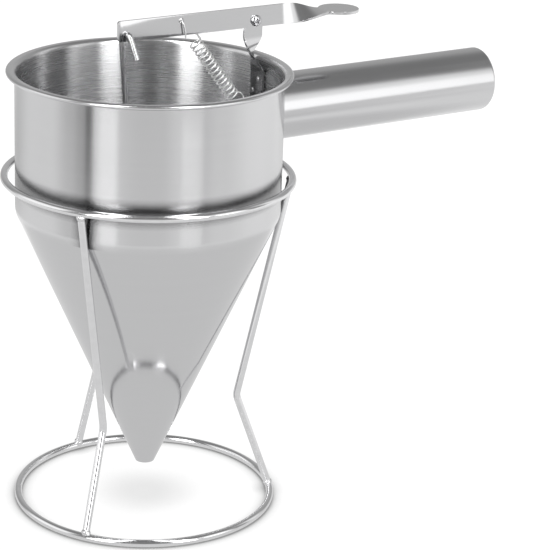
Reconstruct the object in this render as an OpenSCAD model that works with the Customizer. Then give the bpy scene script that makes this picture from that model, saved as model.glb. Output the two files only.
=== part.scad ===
// Batter dispenser: a stainless funnel with a lever-worked outlet stopper, standing in a wire stand.
// Frame: +Z up, +X along the handle. The origin is on the funnel's axis, on the table surface.

/* [Funnel] */
// Outer diameter of the straight wall
wall_d = 141; // [115:0.5:190]
// Height of the straight wall, from the cone's corner to the top of the rim
wall_h = 76; // [60:1:120]
// Height of the cone, from the outlet to the cone's corner
cone_h = 145.5; // [110:0.5:200]
// Outer diameter of the outlet at the cone's tip
outlet_d = 10.4; // [8:0.1:16]
// Thickness of the funnel's sheet
sheet_t = 1; // [0.6:0.1:1.5]
// Distance that the rolled rim stands out from the wall
rim_out = 4.5; // [4.5:0.1:7]
// Thickness of the rolled rim
rim_bead_d = 3.5; // [2.5:0.1:4.5]
// Radius of the soft corner between the wall and the cone
shoulder_r = 12; // [6:1:20]

/* [Handle] */
// Outer diameter of the handle tube
handle_d = 36; // [28:1:40]
// Wall thickness of the handle tube
handle_t = 1.2; // [0.8:0.1:2]
// Length of the handle beyond the straight wall
handle_len = 148; // [100:1:180]
// Depth of the handle's axis below the top of the rim
handle_drop = 29.5; // [28:0.5:36]
// Thickness of the disc that closes the handle's end
handle_cap_t = 1.5; // [1:0.1:3]
// Leg of the weld around the handle's root
handle_weld_leg = 1.6; // [1:0.1:3]

/* [Lever] */
// Height of the lever's flat strip
lever_h = 11; // [10:0.5:14]
// Thickness of the lever's strip
lever_t = 1.5; // [1:0.1:2]
// Height of the lever's middle line above the top of the rim
lever_rise = 21.6; // [19:0.2:30]
// Distance of the lever's pivot from the inside of the wall
pivot_inset = 5.1; // [4.5:0.1:8]
// Distance from the funnel's axis to the hole for the stopper's rod, away from the handle
rod_past_axis = 14.7; // [8:0.1:20]
// Distance from the pivot to the hole for the spring
spring_arm = 46.6; // [40:0.1:50]
// Distance from the pivot to the middle of the thumb plate
thumb_arm = 54.4; // [50:0.1:70]
// Diameter of the round thumb plate
thumb_d = 22.2; // [18:0.2:30]

/* [Bracket and pivot] */
// Width of the bracket's strip
bracket_w = 11.5; // [10:0.5:14]
// Thickness of the bracket's strip
bracket_t = 1.5; // [1:0.1:2]
// Length of the tab that holds the spring
tab_len = 11.5; // [10:0.5:16]
// Depth of the tab's upper face below the top of the rim
tab_drop = 26; // [24:0.5:36]
// Diameter of the pivot screw's shank
screw_d = 3; // [2.5:0.1:3.2]
// Thickness of the washer between the lever and the bracket
washer_t = 0.5; // [0.4:0.1:1]

/* [Stopper] */
// Diameter of the stopper's rod
rod_d = 3.1; // [2.5:0.1:3.5]
// Largest diameter of the stopper's plug
plug_d = 19.8; // [17:0.1:24]
// Thickness of the plug
plug_h = 6.5; // [4:0.5:9]

/* [Spring] */
// Outer diameter of the return spring's coils
spring_d = 7.6; // [6:0.2:9]
// Diameter of the spring's wire
spring_wire_d = 0.9; // [0.6:0.1:1]
// Number of coils
spring_turns = 15; // [10:1:20]

/* [Stand] */
// Diameter of the stand's wire
wire_d = 4; // [3:0.1:5]
// Gap between the wall and the top ring's wire
top_ring_gap = 3.7; // [3:0.1:4.5]
// Height of the top ring's middle above the cone's corner
top_ring_rise = 18.4; // [12:0.2:24]
// Diameter of the base ring, between the middles of its wire
base_ring_d = 139.4; // [120:0.2:170]
// Height of the legs' knees above the table
knee_z = 57; // [40:1:80]
// Radius of the bend at each knee
knee_r = 9; // [6:1:14]
// Turn of the first leg away from the handle
leg_turn = -27; // [-40:1:-15]
// Height of the outlet above the table
outlet_z = 19.5; // [15:0.5:30]

/* [Hidden] */

steel = [0.78, 0.78, 0.79];
satin = [0.70, 0.70, 0.71];
weld_grey = [0.62, 0.62, 0.64];

$fn = 96;
small = 48;
slip = 0.05;        // radial clearance of a pin that turns in its hole
seat_gap = 0.1;     // gap between the plug and the cone, and between the shoulder and the legs
over = 1;           // extra length of a cutting tool beyond the face it cuts
lap = 0.1;          // length by which a straight runs on into a bend
swell = 0.01;       // extra thickness of a bend over the straights that run into it

// Funnel
wall_r = wall_d / 2;
bore_r = wall_r - sheet_t;
corner_z = outlet_z + cone_h;
rim_z = corner_z + wall_h;
outlet_r = outlet_d / 2;
cone_a = atan((wall_r - outlet_r) / cone_h);
bead_r = rim_bead_d / 2;
bead_x = wall_r + rim_out - bead_r;
flare_r = rim_out - rim_bead_d + sheet_t;
shoulder_x = wall_r - shoulder_r;
shoulder_z = corner_z + shoulder_r * tan(cone_a / 2);
function cone_bore(z) = outlet_r - sheet_t / cos(cone_a) + (z - outlet_z) * tan(cone_a);

// Handle
handle_z = rim_z - handle_drop;
handle_r = handle_d / 2;
handle_end = wall_r + handle_len;

// Lever, in the plane y = 0
lever_z = rim_z + lever_rise;
pivot_x = bore_r - pivot_inset;
pivot_z = lever_z - 2;
rod_hole_x = -rod_past_axis;
rod_hole_z = lever_z - 1.6;
spring_hole_x = pivot_x - spring_arm;
spring_hole_z = lever_z + 2.4;
spring_hole_d = 3;
thumb_x = pivot_x + thumb_arm;
thumb_z = lever_z - 1.1;
lever_tip_x = rod_hole_x - 5.2;
lever_corner_r = 1.6;
twist_x0 = pivot_x + 12;
twist_x1 = thumb_x - thumb_d / 2 + 3.6;
twist_steps = 20;

// Bracket: its upper end lies beside the lever, its lower end stands against the wall
bracket_y = lever_t / 2 + slip + washer_t + bracket_t / 2;
bracket_back = sqrt(pow(bore_r, 2) - pow(bracket_y + bracket_w / 2, 2)) - 0.02;
bracket_x = bracket_back - bracket_t / 2;
bracket_bend = 1.2;
tab_z = rim_z - tab_drop;
tab_hole_x = bracket_x - 8;
tab_hole_d = 4;
twist_z0 = rim_z - 10;
twist_z1 = pivot_z - 9;
twist_lead = 1.7;   // how far the lean is ahead of the turn

// Pivot screw
head_d = 6.2;
head_h = 1.9;
nut_w = 5.5;
nut_h = 2.4;
screw_y0 = -lever_t / 2 - slip;
nut_y = bracket_y + bracket_t / 2;

// Stopper
plug_top_r = plug_d / 2;
plug_top_z = outlet_z + (plug_top_r + seat_gap / cos(cone_a) - cone_bore(outlet_z)) / tan(cone_a);
plug_low_r = plug_top_r - plug_h * tan(cone_a);
rod_r = rod_d / 2;
rod_near_y = -1.2;
rod_far_y = 1.6;
rod_near_bend = 3;
rod_far_bend = 3.5;
rod_near_a = 70;
rod_tail = 11.2;
rod_tail_lean = 9;
rod_lean = atan(-rod_hole_x / (rod_hole_z - plug_top_z));
rod_drop = (rod_hole_z - plug_top_z) / cos(rod_lean);
rod_reach = sqrt(pow(rod_far_y, 2) + pow(rod_drop - rod_far_bend, 2));
rod_side = asin(rod_far_bend / rod_reach) + atan(rod_far_y / (rod_drop - rod_far_bend));
rod_leg = (rod_far_y + rod_far_bend * cos(rod_side)) / sin(rod_side);

// Spring: the coils lie between these two points, and the hooks go to the two holes
coil_top = [spring_hole_x + 8.8, 0, spring_hole_z - 12];
coil_end = [tab_hole_x - 7.9, 0.4, tab_z + 5];
coil_r = (spring_d - spring_wire_d) / 2;
coil_axis = (coil_end - coil_top) / norm(coil_end - coil_top);
coil_side = cross([0, 1, 0], coil_axis) / norm(cross([0, 1, 0], coil_axis));
coil_up = cross(coil_axis, coil_side);
coil_steps = 14;
// Hand-set shape points of the two hooks, from the middle of their holes
top_hook = [[2, -2.3, -9.4], [1.6, -2.2, -5.5], [0.6, -1.8, -1.3], [0.1, 0, -0.2],
    [0.2, 1.8, -1.3], [1, 2.2, -4.8], [3.2, 1.8, -7.3], [6.2, 1.5, -7.6], [9.3, 1.4, -7.5],
    [11.1, 1.2, -8.8]];
end_hook = [[-4.2, -2.6, 7.6], [-2, -1.6, 5.4], [-0.6, -0.4, 2.6], [-0.3, 0, -0.6],
    [-1.4, 0, -3.2], [-3.8, 0, -4.4], [-6, 0, -3]];

// Stand
wire_r = wire_d / 2;
top_ring_r = wall_r + top_ring_gap + wire_r;
top_ring_z = corner_z + top_ring_rise;
base_ring_r = base_ring_d / 2;
base_ring_z = wire_r;
// Each leg points at the middles of both rings' wire, and leans on the funnel's shoulder
ring_mid = [top_ring_r, top_ring_z];
foot_mid = [base_ring_r, base_ring_z];
seat_r = shoulder_r + wire_r + seat_gap;
seat_v = ring_mid - [shoulder_x, shoulder_z];
leg_lean = atan(seat_v[0] / seat_v[1]) - asin(seat_r / norm(seat_v));
knee = [ring_mid[0] - (ring_mid[1] - knee_z) * tan(leg_lean), knee_z];
foot_lean = atan((foot_mid[0] - knee[0]) / (knee[1] - foot_mid[1]));
knee_turn = leg_lean + foot_lean;
knee_cut = knee_r * tan(knee_turn / 2);
weld_w = 1.1;
weld_h = 2.4;

// A round bar between two points of the plane y = 0, given as [x, z]
module bar(a, b, r) {
    v = b - a;
    translate([a[0], 0, a[1]])
        rotate([0, atan2(v[0], v[1]), 0])
            cylinder(r = r, h = norm(v), $fn = small);
}

module ring(r, z, tube) {
    translate([0, 0, z])
        rotate_extrude($fn = 128)
            translate([r, 0]) circle(r = tube, $fn = small);
}

// Triangles of the skin between rings of n points, with both ends closed
function skin_faces(rings, n) = concat(
    [for (i = [0:rings - 2], j = [0:n - 1]) [i * n + j, i * n + (j + 1) % n, (i + 1) * n + j]],
    [for (i = [0:rings - 2], j = [0:n - 1])
        [i * n + (j + 1) % n, (i + 1) * n + (j + 1) % n, (i + 1) * n + j]],
    [[for (j = [0:n - 1]) n - 1 - j]],
    [[for (j = [0:n - 1]) (rings - 1) * n + j]]);

function smooth(t) = t * t * (3 - 2 * t);

// The four corners of a strip's section, with its middle, width direction and thickness direction
function strip_section(c, w, t, across, thin) = [
    c - across * w / 2 - thin * t / 2, c + across * w / 2 - thin * t / 2,
    c + across * w / 2 + thin * t / 2, c - across * w / 2 + thin * t / 2];

module stand_top_ring() {
    color(steel) ring(top_ring_r, top_ring_z, wire_r);
}

module stand_base_ring() {
    color(steel) ring(base_ring_r, base_ring_z, wire_r);
}

// One leg in the plane y = 0: two straight wires that butt against the rings, and the knee's bend
module leg() {
    upper = [sin(leg_lean), cos(leg_lean)];
    lower = [sin(foot_lean), -cos(foot_lean)];
    bend_mid = knee + [cos(leg_lean), -sin(leg_lean)] * knee_r + upper * knee_cut;
    bar(knee + upper * (knee_cut - lap), ring_mid - upper * wire_r, wire_r);
    translate([bend_mid[0], 0, bend_mid[1]])
        rotate([90, 0, 0])
            rotate([0, 0, 180 - leg_lean])
                rotate_extrude(angle = knee_turn, $fn = 128)
                    translate([knee_r, 0]) circle(r = wire_r + swell, $fn = small);
    bar(knee + lower * (knee_cut - lap), foot_mid - lower * wire_r, wire_r);
}

module at_leg(i) {
    rotate([0, 0, leg_turn + 120 * i]) children();
}

module stand_leg_1() { color(steel) at_leg(0) leg(); }
module stand_leg_2() { color(steel) at_leg(1) leg(); }
module stand_leg_3() { color(steel) at_leg(2) leg(); }

// A fillet weld around the end of a leg: a cone that widens to the ring, less the wires
module leg_weld(end, lean, flip) {
    difference() {
        translate([end[0], 0, end[1]])
            rotate([0, lean + (flip ? 180 : 0), 0])
                translate([0, 0, -wire_r - weld_h])
                    cylinder(r1 = wire_r, r2 = wire_r + weld_w, h = weld_h + 0.6, $fn = small);
        leg();
        ring(top_ring_r, top_ring_z, wire_r);
        ring(base_ring_r, base_ring_z, wire_r);
    }
}

module leg_top_welds() {
    color(weld_grey)
        for (i = [0:2]) at_leg(i) leg_weld(ring_mid, leg_lean, false);
}

module leg_base_welds() {
    color(weld_grey)
        for (i = [0:2]) at_leg(i) leg_weld(foot_mid, -foot_lean, true);
}

// Points of an arc round c, from angle a0 to angle a1
function arc(c, r, a0, a1, steps) = [for (i = [0:steps])
    let (a = a0 + (a1 - a0) * i / steps) c + r * [cos(a), sin(a)]];

// The funnel is one spun piece: cone, soft shoulder, wall, flared and rolled rim
module funnel_profile() {
    shoulder = [shoulder_x, shoulder_z];
    flare = [wall_r + flare_r, rim_z - bead_r - flare_r - sheet_t / 2];
    polygon(concat([[outlet_r, outlet_z]],
        arc(shoulder, shoulder_r, -cone_a, 0, 12),
        arc(flare, flare_r, 180, 90, 12),
        arc(flare, flare_r + sheet_t, 90, 180, 12),
        arc(shoulder, shoulder_r - sheet_t, 0, -cone_a, 12),
        [[outlet_r - sheet_t / cos(cone_a), outlet_z]]));
    translate([bead_x, rim_z - bead_r]) circle(r = bead_r, $fn = small);
}

module funnel_bowl() {
    color(steel) rotate_extrude($fn = 128) funnel_profile();
}

module handle_tube() {
    color(steel) difference() {
        translate([0, 0, handle_z]) rotate([0, 90, 0]) difference() {
            cylinder(r = handle_r, h = handle_end - handle_cap_t);
            translate([0, 0, -over])
                cylinder(r = handle_r - handle_t, h = handle_end + 2 * over);
        }
        translate([0, 0, handle_z - handle_r - over])
            cylinder(r = wall_r, h = handle_d + 2 * over);
    }
}

module handle_end_cap() {
    edge = 0.5;
    color(steel) translate([handle_end - handle_cap_t, 0, handle_z]) rotate([0, 90, 0]) {
        cylinder(r = handle_r, h = handle_cap_t - edge);
        translate([0, 0, handle_cap_t - edge])
            cylinder(r1 = handle_r, r2 = handle_r - edge, h = edge);
    }
}

// The weld follows the saddle where the tube meets the round wall
module handle_weld() {
    color(weld_grey) translate([0, 0, handle_z]) difference() {
        intersection() {
            rotate([0, 90, 0]) cylinder(r = handle_r + handle_weld_leg, h = handle_end);
            translate([0, 0, -handle_d])
                cylinder(r = wall_r + handle_weld_leg, h = 2 * handle_d);
        }
        rotate([0, 90, 0]) cylinder(r = handle_r, h = handle_end + over);
        translate([0, 0, -handle_d - over]) cylinder(r = wall_r, h = 2 * (handle_d + over));
    }
}

// The bracket's strip leans in to the pivot and turns a quarter on its way up. The lean leads, so
// that the turning edge stays clear of the wall
module bracket_twist() {
    rings = [for (i = [0:twist_steps])
        let (t = i / twist_steps, a = 90 * smooth(t),
            c = [bracket_x + (pivot_x - bracket_x) * smooth(min(1, twist_lead * t)), bracket_y,
                twist_z0 + (twist_z1 - twist_z0) * t])
        each strip_section(c, bracket_w, bracket_t, [sin(a), cos(a), 0], [cos(a), -sin(a), 0])];
    polyhedron(points = rings, faces = skin_faces(twist_steps + 1, 4));
}

module lever_bracket() {
    low_w = [bracket_x - bracket_t / 2, bracket_y - bracket_w / 2];
    bend_z = tab_z + bracket_bend;
    corner = 2.5;
    tab_x = bracket_x - bracket_t / 2 - tab_len;
    bend_x = bracket_x - bracket_t / 2 - bracket_bend;
    color(satin) {
        translate([low_w[0], low_w[1], bend_z])
            cube([bracket_t, bracket_w, twist_z0 - bend_z]);
        translate([bend_x, low_w[1] + bracket_w, bend_z])
            rotate([90, 0, 0])
                rotate([0, 0, -90])
                    rotate_extrude(angle = 90, $fn = small)
                        translate([bracket_bend, 0]) square([bracket_t, bracket_w]);
        difference() {
            union() {
                translate([tab_x, low_w[1] + corner, tab_z - bracket_t])
                    cube([bend_x - tab_x, bracket_w - 2 * corner, bracket_t]);
                translate([tab_x + corner, low_w[1], tab_z - bracket_t])
                    cube([bend_x - tab_x - corner, bracket_w, bracket_t]);
                for (y = [low_w[1] + corner, low_w[1] + bracket_w - corner])
                    translate([tab_x + corner, y, tab_z - bracket_t])
                        cylinder(r = corner, h = bracket_t, $fn = small);
            }
            translate([tab_hole_x, bracket_y, tab_z - bracket_t - over])
                cylinder(d = tab_hole_d, h = bracket_t + 2 * over, $fn = small);
        }
        bracket_twist();
        difference() {
            union() {
                translate([pivot_x - bracket_w / 2, bracket_y - bracket_t / 2, twist_z1])
                    cube([bracket_w, bracket_t, pivot_z - twist_z1]);
                translate([pivot_x, bracket_y + bracket_t / 2, pivot_z])
                    rotate([90, 0, 0]) cylinder(d = bracket_w, h = bracket_t);
            }
            translate([pivot_x, bracket_y + bracket_t, pivot_z]) rotate([90, 0, 0])
                cylinder(d = screw_d + 2 * slip, h = 2 * bracket_t, $fn = small);
        }
    }
}

// Two nuggets hold the strip to the wall; each shows as a low button on the strip
module bracket_spot_welds() {
    nuggets = [[bracket_y - 1.6, twist_z0 - 3], [bracket_y + 3.4, twist_z0 - 10]];
    color(weld_grey) for (p = nuggets) {
        translate([bracket_x - bracket_t / 2 - 0.35, p[0], p[1]]) rotate([0, 90, 0])
            cylinder(r1 = 0.7, r2 = 1.2, h = 0.35, $fn = small);
        intersection() {
            translate([bracket_back, p[0], p[1]]) rotate([0, 90, 0])
                cylinder(r = 1.5, h = 3, $fn = small);
            translate([0, 0, tab_z]) cylinder(r = bore_r, h = rim_z - tab_z, $fn = 720);
        }
    }
}

module pivot_screw() {
    tip_y = nut_y + nut_h + 0.6;
    color(steel) translate([pivot_x, 0, pivot_z]) rotate([-90, 0, 0]) {
        translate([0, 0, screw_y0]) cylinder(d = screw_d, h = tip_y - screw_y0, $fn = small);
        difference() {
            translate([0, 0, screw_y0 - head_h]) {
                translate([0, 0, 0.7]) cylinder(d = head_d, h = head_h - 0.7, $fn = small);
                cylinder(d1 = head_d - 1.6, d2 = head_d, h = 0.7, $fn = small);
            }
            for (a = [0, 90]) rotate([0, 0, a + 20])
                translate([-1.7, -0.4, screw_y0 - head_h - over]) cube([3.4, 0.8, over + 1.1]);
        }
    }
}

module pivot_washer() {
    color(steel) translate([pivot_x, lever_t / 2 + slip + washer_t, pivot_z]) rotate([90, 0, 0])
        difference() {
            cylinder(d = 7, h = washer_t, $fn = small);
            translate([0, 0, -over])
                cylinder(d = screw_d + 2 * slip, h = washer_t + 2 * over, $fn = small);
        }
}

module pivot_nut() {
    color(steel) translate([pivot_x, nut_y + nut_h, pivot_z]) rotate([90, 0, 0]) difference() {
        cylinder(d = nut_w / cos(30), h = nut_h, $fn = 6);
        translate([0, 0, -over]) cylinder(d = screw_d, h = nut_h + 2 * over, $fn = small);
    }
}

// The lever's strip turns a quarter, so that the thumb plate lies flat
module lever_twist() {
    rings = [for (i = [0:twist_steps])
        let (t = i / twist_steps, x = twist_x0 + (twist_x1 - twist_x0) * t, a = 90 * smooth(t),
            z = lever_z + (thumb_z - lever_z) * smooth(t))
        each strip_section([x, 0, z], lever_h, lever_t, [0, sin(a), cos(a)], [0, cos(a), -sin(a)])];
    polyhedron(points = rings, faces = skin_faces(twist_steps + 1, 4));
}

module lever_hole(x, z, d) {
    translate([x, lever_t, z]) rotate([90, 0, 0]) cylinder(d = d, h = 2 * lever_t, $fn = small);
}

module thumb_lever() {
    low = lever_z - lever_h / 2;
    c = lever_corner_r;
    color(satin) {
        difference() {
            union() {
                translate([lever_tip_x + c, -lever_t / 2, low])
                    cube([twist_x0 - lever_tip_x - c, lever_t, lever_h]);
                translate([lever_tip_x, -lever_t / 2, low + c])
                    cube([2 * c, lever_t, lever_h - 2 * c]);
                for (z = [low + c, low + lever_h - c])
                    translate([lever_tip_x + c, lever_t / 2, z]) rotate([90, 0, 0])
                        cylinder(r = c, h = lever_t, $fn = small);
            }
            lever_hole(rod_hole_x, rod_hole_z, rod_d + 2 * slip);
            lever_hole(spring_hole_x, spring_hole_z, spring_hole_d);
            lever_hole(pivot_x, pivot_z, screw_d + 2 * slip);
        }
        lever_twist();
        translate([thumb_x, 0, thumb_z - lever_t / 2]) cylinder(d = thumb_d, h = lever_t);
    }
}

// One bent rod: a tail on the near side, a straight through the lever, and the long leg down
module stopper_rod() {
    color(steel) translate([rod_hole_x, 0, rod_hole_z]) {
        translate([0, rod_far_y + lap, 0]) rotate([90, 0, 0])
            cylinder(r = rod_r, h = rod_far_y - rod_near_y + 2 * lap, $fn = small);
        rotate([0, -rod_tail_lean, 0])
            translate([0, rod_near_y, -rod_near_bend]) rotate([0, -90, 0]) {
                rotate([0, 0, -rod_near_a]) rod_bend(rod_near_bend, rod_near_a);
                rotate([0, 0, -rod_near_a]) translate([rod_near_bend, lap, 0])
                    rotate([90, 0, 0]) cylinder(r = rod_r, h = rod_tail, $fn = small);
            }
        rotate([0, -rod_lean, 0])
            translate([0, rod_far_y, -rod_far_bend]) rotate([0, -90, 0]) {
                rod_bend(rod_far_bend, 90 + rod_side);
                rotate([0, 0, 90 + rod_side]) translate([rod_far_bend, -lap, 0])
                    rotate([-90, 0, 0]) cylinder(r = rod_r, h = rod_leg + lap, $fn = small);
            }
    }
}

module rod_bend(bend, a) {
    rotate_extrude(angle = a, $fn = 128)
        translate([bend, 0]) circle(r = rod_r + swell, $fn = small);
}

// The weld that holds the rod on the plug
module stopper_weld() {
    color(weld_grey) difference() {
        translate([0, 0, plug_top_z]) cylinder(r1 = rod_r + 1.1, r2 = rod_r + 0.2, h = 1.6);
        stopper_rod();
    }
}

module stopper_plug() {
    edge = 0.4;
    color(satin) difference() {
        translate([0, 0, plug_top_z - plug_h]) {
            cylinder(r1 = plug_low_r, r2 = plug_top_r - edge * tan(cone_a), h = plug_h - edge);
            translate([0, 0, plug_h - edge])
                cylinder(r1 = plug_top_r - edge * tan(cone_a), r2 = plug_top_r - edge, h = edge);
        }
        stopper_rod();
    }
}

// A point of the hook's curve between points 1 and 2 of four
function hook_point(p, t) = 0.5 * (2 * p[1] + (p[2] - p[0]) * t
    + (2 * p[0] - 5 * p[1] + 4 * p[2] - p[3]) * t * t
    + (3 * p[1] - p[0] - 3 * p[2] + p[3]) * t * t * t);
function hook_curve(p, steps) = [for (i = [0:len(p) - 2], k = [0:steps - 1])
    hook_point([p[max(0, i - 1)], p[i], p[i + 1], p[min(len(p) - 1, i + 2)]], k / steps)];
function coil_point(turn) = coil_top + (coil_end - coil_top) * turn / spring_turns
    - coil_r * (cos(360 * turn) * coil_side + sin(360 * turn) * coil_up);

module return_spring() {
    turns = [for (i = [0:spring_turns * coil_steps]) coil_point(i / coil_steps)];
    start = [for (p = top_hook) p + [spring_hole_x, 0, spring_hole_z]];
    end = [for (p = end_hook) p + [tab_hole_x, bracket_y, tab_z - bracket_t / 2]];
    path = concat(hook_curve(concat(start, [turns[0]]), 4), turns,
        hook_curve(concat([turns[len(turns) - 1]], end), 4), [end[len(end) - 1]]);
    n = len(path);
    sides = 6;
    points = [for (i = [0:n - 1])
        let (v = path[min(n - 1, i + 1)] - path[max(0, i - 1)], d = v / norm(v),
            a = cross(d, coil_axis), a1 = a / norm(a), b = cross(d, a1))
        for (j = [0:sides - 1]) path[i]
            + spring_wire_d / 2 * (cos(360 * j / sides) * a1 + sin(360 * j / sides) * b)];
    color(steel) polyhedron(points = points, faces = skin_faces(n, sides));
}

stand_top_ring();
stand_base_ring();
stand_leg_1();
stand_leg_2();
stand_leg_3();
leg_top_welds();
leg_base_welds();
funnel_bowl();
handle_tube();
handle_end_cap();
handle_weld();
lever_bracket();
bracket_spot_welds();
pivot_screw();
pivot_washer();
pivot_nut();
thumb_lever();
stopper_rod();
stopper_weld();
stopper_plug();
return_spring();
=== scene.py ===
"""Batter dispenser of stainless steel: a spun funnel with a lever-worked stopper, in a wire stand."""

import math

import bmesh
import bpy
from mathutils import Matrix, Vector, noise


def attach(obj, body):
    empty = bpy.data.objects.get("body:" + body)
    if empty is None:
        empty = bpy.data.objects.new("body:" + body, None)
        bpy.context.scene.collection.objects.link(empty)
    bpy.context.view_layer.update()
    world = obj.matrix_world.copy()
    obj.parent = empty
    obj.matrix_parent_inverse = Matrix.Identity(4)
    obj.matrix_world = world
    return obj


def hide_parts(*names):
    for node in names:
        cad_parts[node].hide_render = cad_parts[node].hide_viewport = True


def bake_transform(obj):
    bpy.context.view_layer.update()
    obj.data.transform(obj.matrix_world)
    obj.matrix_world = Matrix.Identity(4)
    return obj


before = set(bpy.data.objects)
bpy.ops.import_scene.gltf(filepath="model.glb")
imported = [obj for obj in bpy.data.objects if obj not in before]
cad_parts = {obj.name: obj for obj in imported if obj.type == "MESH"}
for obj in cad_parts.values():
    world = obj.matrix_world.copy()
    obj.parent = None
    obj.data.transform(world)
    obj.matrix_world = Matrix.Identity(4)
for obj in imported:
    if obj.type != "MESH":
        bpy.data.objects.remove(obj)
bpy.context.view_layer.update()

# ---------------------------------------------------------------------------------------------
# The room: a white table in a dim studio, with two tall soft boxes and white and grey cards round
# it. Steel shows little but its surroundings, so these cards are what shades the object.
# ---------------------------------------------------------------------------------------------
MM = 0.001
CAMERA_SIDE = math.radians(-120.8)


def add(tree, kind, settings=None, **links):
    """Adds one node: settings are its properties, links are its inputs, by name or as i and their
    place, each a value or another node's output."""
    n = tree.nodes.new("ShaderNode" + kind)
    for key, value in (settings or {}).items():
        setattr(n, key, value)
    for key, value in links.items():
        by_place = key[0] == "i" and key[1:].isdigit()
        socket = n.inputs[int(key[1:]) if by_place else key.replace("_", " ")]
        if isinstance(value, bpy.types.NodeSocket):
            tree.links.new(value, socket)
        else:
            socket.default_value = value
    return n


def bearing(tree, direction):
    """The compass turn of a direction from the camera's side, as a share of a full turn: 0.5 is
    towards the camera, more is to its right."""
    parts = add(tree, "SeparateXYZ", Vector=direction)
    turn = add(tree, "Math", {"operation": "ARCTAN2"}, i0=parts.outputs["Y"], i1=parts.outputs["X"])
    turn = add(tree, "Math", {"operation": "SUBTRACT"}, i0=turn.outputs[0], i1=CAMERA_SIDE + math.pi)
    turn = add(tree, "Math", {"operation": "DIVIDE"}, i0=turn.outputs[0], i1=math.tau)
    return add(tree, "Math", {"operation": "WRAP"}, i0=turn.outputs[0], i1=1.0, i2=0.0).outputs[0]


def cards(tree, value, stops):
    """Grey cards side by side: each stop is a place along the value and the card's brightness."""
    n = add(tree, "ValToRGB", Fac=value)
    band = n.color_ramp
    band.interpolation = "EASE"
    while len(band.elements) < len(stops):
        band.elements.new(0.5)
    for element, (place, grey) in zip(band.elements, stops):
        element.position = place
        element.color = (grey, grey, grey, 1)
    return n.outputs["Color"]


def degrees(stops):
    """Stops given in degrees from the camera's side, as shares of a full turn."""
    return [(0.5 + angle / 360, grey) for angle, grey in stops]


scene = bpy.context.scene
scene.view_settings.view_transform = "Standard"

# Each card is its bearing in degrees and its brightness. Those at the back and sides are the same at
# every height. Those in front are brighter low down, and the ceiling above them all is dim.
BACK_LEFT = [(-180, 0.50), (-130, 0.35), (-105, 1.20), (-70, 1.20)]
BACK_RIGHT = [(84, 0.35), (95, 0.35), (108, 1.00), (130, 0.40), (180, 0.50)]
HIGH_FRONT = [(-60, 0.15), (-46, 0.15), (-22, 0.15), (22, 0.12), (50, 0.60), (57, 1.20), (76, 1.20)]
LOW_FRONT = [(-60, 0.38), (-46, 0.38), (-22, 0.40), (22, 0.36), (50, 0.60), (56, 1.70), (68, 1.70),
             (78, 1.20)]
CEILING = 0.26
BOX = 7.0
BOX_SIDES = [(-180, 0.0), (-48, 0.0), (-45, 1.0), (-28, 1.0), (-25, 0.0),
             (26, 0.0), (29, 1.0), (44, 1.0), (47, 0.0), (180, 0.0)]
world = bpy.data.worlds.new("studio")
scene.world = world
world.use_nodes = True
tree = world.node_tree
tree.nodes.clear()
sky = add(tree, "TexCoord").outputs["Generated"]
rise = add(tree, "SeparateXYZ", Vector=sky).outputs["Z"]
high_walls = cards(tree, bearing(tree, sky), degrees(BACK_LEFT + HIGH_FRONT + BACK_RIGHT))
low_walls = cards(tree, bearing(tree, sky), degrees(BACK_LEFT + LOW_FRONT + BACK_RIGHT))
low_down = cards(tree, rise, [(0.0, 1.0), (0.34, 1.0), (0.46, 0.0), (1.0, 0.0)])
walls = add(tree, "MixRGB", Fac=low_down, Color1=high_walls, Color2=low_walls)
overhead = cards(tree, rise, [(0.0, 0.0), (0.50, 0.0), (0.80, 1.0), (1.0, 1.0)])
dim_room = add(tree, "MixRGB", Fac=overhead, Color1=walls.outputs[0], Color2=(CEILING, CEILING, CEILING, 1))
boxes = cards(tree, bearing(tree, sky), degrees(BOX_SIDES))
box_height = cards(tree, rise, [(0.0, 0.0), (0.06, 1.0), (0.90, 1.0), (0.96, 0.0)])
lit = add(tree, "Math", {"operation": "MULTIPLY"}, i0=boxes, i1=box_height)
room = add(tree, "MixRGB", Fac=lit.outputs[0], Color1=dim_room.outputs[0], Color2=(BOX, BOX, BOX, 1))
rays = add(tree, "LightPath")
plain = add(tree, "Math", {"operation": "MAXIMUM"}, i0=rays.outputs["Is Camera Ray"],
            i1=rays.outputs["Is Diffuse Ray"])
seen = add(tree, "MixRGB", Fac=plain.outputs[0], Color1=room.outputs[0], Color2=(1, 1, 1, 1))
glow = add(tree, "Background", Color=seen.outputs[0], Strength=1.0)
tree.links.new(glow.outputs[0], add(tree, "OutputWorld").inputs["Surface"])

TABLE_HALF = 6.0
bm = bmesh.new()
bmesh.ops.create_grid(bm, x_segments=1, y_segments=1, size=TABLE_HALF)
mesh = bpy.data.meshes.new("table_top")
bm.to_mesh(mesh)
bm.free()
table_top = bpy.data.objects.new("table_top", mesh)
scene.collection.objects.link(table_top)

# White board is matt and evenly bright to the eye. What steel mirrors of it is painted light and shade,
# darker and uneven, as a table among grey cards is: painted shade by its distance near the stand, light
# and shade by its bearing further out. The narrow painted dark gap near -50 degrees is what the wall
# mirrors as its dark upright line.
TABLE_AROUND = [
    (-180, 0.62), (-150, 0.60), (-115, 0.84), (-88, 0.82), (-66, 0.50), (-57, 0.36), (-53.5, 0.24),
    (-51.8, 0.03), (-49.5, 0.03), (-44, 0.62), (-38, 0.86), (-29, 0.86), (-22, 0.72), (-6, 0.67),
    (10, 0.68), (22, 0.80), (32, 0.62), (42, 0.60), (51, 0.69), (62, 0.73), (92, 1.00), (130, 0.95),
    (180, 0.62)]
TABLE_WHITE = 0.90
BOARD_GREY = 0.14
EASED = {"interpolation_type": "SMOOTHSTEP"}
white_board = bpy.data.materials.new("white board")
white_board.use_nodes = True
tree = white_board.node_tree
tree.nodes.clear()
place = add(tree, "TexCoord").outputs["Object"]
away = add(tree, "VectorMath", {"operation": "LENGTH"}, i0=place).outputs["Value"]
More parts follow.
